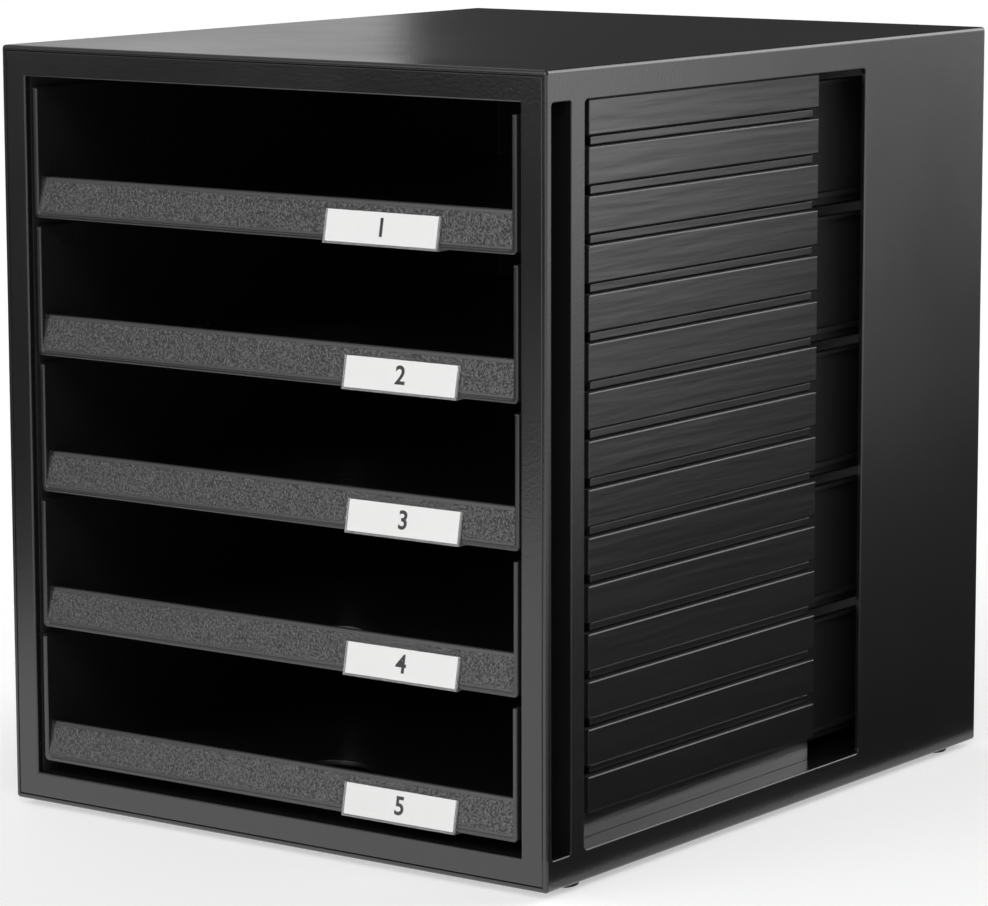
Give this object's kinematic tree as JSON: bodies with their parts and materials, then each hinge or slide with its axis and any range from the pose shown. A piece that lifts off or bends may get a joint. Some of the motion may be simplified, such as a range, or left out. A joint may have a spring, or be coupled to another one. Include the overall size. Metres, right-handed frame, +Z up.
{
  "type": "desktop drawer organizer",
  "caption": "Black desktop box with open letter drawers on side runners, low leaning lips with clear label holders, and ribbed panels behind side windows.",
  "frame": {"origin": "on the surface that the feet stand on, under the middle of the casing", "axes": "+X to the right seen from the front, -Y out of the front through the drawers, +Z up"},
  "size_m": [0.275, 0.33, 0.32],
  "materials": {
    "casing_black": "black polystyrene, satin with a very fine spark texture",
    "runner_black": "black polystyrene, smooth and half glossy",
    "drawer_black": "black polystyrene, grained on the lip, satin inside",
    "holder_clear": "clear plastic, smooth, slightly hazy",
    "card_white": "white card, uncoated",
    "foot_rubber": "black rubber, matte"
  },
  "bodies": {
    "casing": {"casing_shell": "casing_black", "front_frame": "casing_black", "back_panel": "casing_black", "runner_panel_left": "runner_black", "runner_panel_right": "runner_black", "foot_front_left": "foot_rubber", "foot_front_right": "foot_rubber", "foot_rear_left": "foot_rubber", "foot_rear_right": "foot_rubber"},
    "drawer_body_1": {"drawer_1": "drawer_black", "label_holder_1": "holder_clear", "label_card_1": "card_white"},
    "drawer_body_2": {"drawer_2": "drawer_black", "label_holder_2": "holder_clear", "label_card_2": "card_white"},
    "drawer_body_3": {"drawer_3": "drawer_black", "label_holder_3": "holder_clear", "label_card_3": "card_white"},
    "drawer_body_4": {"drawer_4": "drawer_black", "label_holder_4": "holder_clear", "label_card_4": "card_white"},
    "drawer_body_5": {"drawer_5": "drawer_black", "label_holder_5": "holder_clear", "label_card_5": "card_white"}
  },
  "joints": [
    {"name": "drawer_1_slide", "type": "slide", "parent": "casing", "child": "drawer_body_1", "axis": [0, -1, 0], "range_m": [-0.0017, 0.2413]},
    {"name": "drawer_2_slide", "type": "slide", "parent": "casing", "child": "drawer_body_2", "axis": [0, -1, 0], "range_m": [-0.001, 0.242]},
    {"name": "drawer_3_slide", "type": "slide", "parent": "casing", "child": "drawer_body_3", "axis": [0, -1, 0], "range_m": [-0.0003, 0.2427]},
    {"name": "drawer_4_slide", "type": "slide", "parent": "casing", "child": "drawer_body_4", "axis": [0, -1, 0], "range_m": [-0.0013, 0.2417]},
    {"name": "drawer_5_slide", "type": "slide", "parent": "casing", "child": "drawer_body_5", "axis": [0, -1, 0], "range_m": [-0.0019, 0.2411]}
  ]
}
